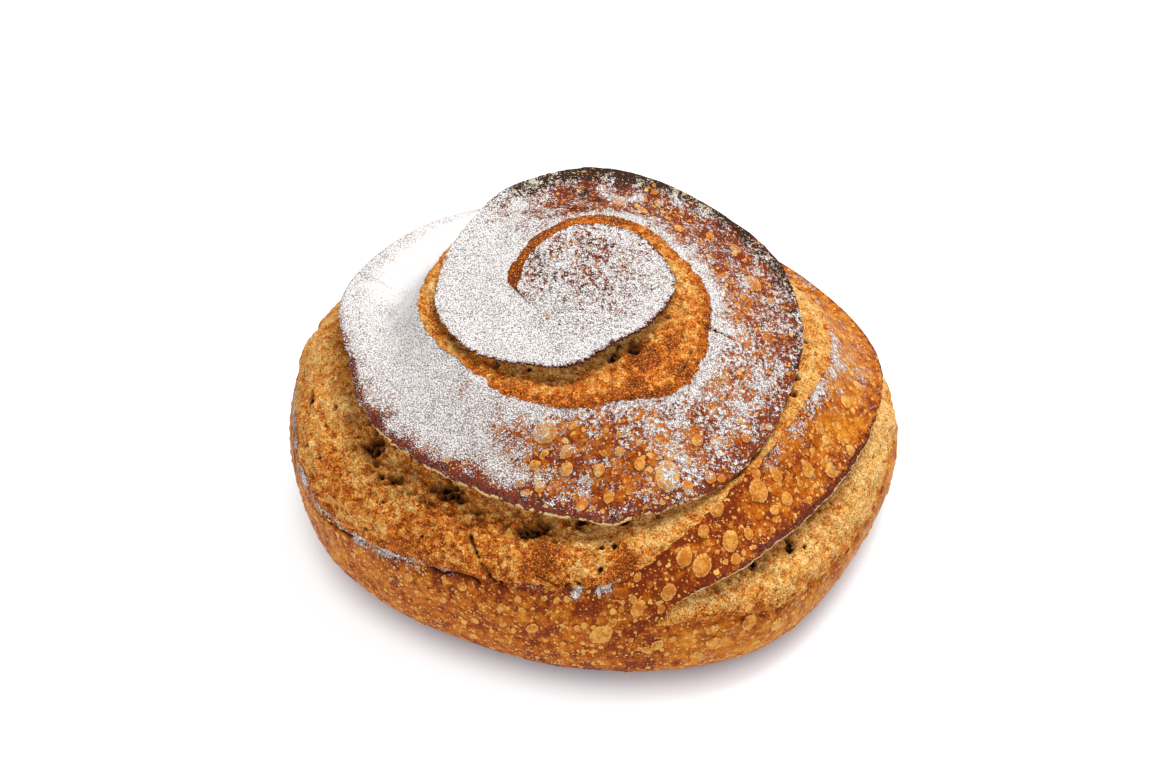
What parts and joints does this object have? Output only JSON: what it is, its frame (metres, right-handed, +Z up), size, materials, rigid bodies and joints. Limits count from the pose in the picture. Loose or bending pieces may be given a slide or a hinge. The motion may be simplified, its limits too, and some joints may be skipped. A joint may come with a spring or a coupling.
{
  "type": "round country bread loaf",
  "caption": "Round crusty hearth loaf of bread, flour-dusted, with one spiral cut opened into lifted ears and torn crumb; stands on its flat foot.",
  "frame": {"origin": "centre of the loaf's footprint, on the surface it stands on", "axes": "+Z up; -Y towards the side that the picture shows nearest, +X to that view's right"},
  "size_m": [0.2526, 0.237, 0.1289],
  "materials": {
    "crust": "rough browned bread crust, dusted with flour"
  },
  "bodies": {
    "root": {"country_loaf": "crust"}
  },
  "joints": []
}
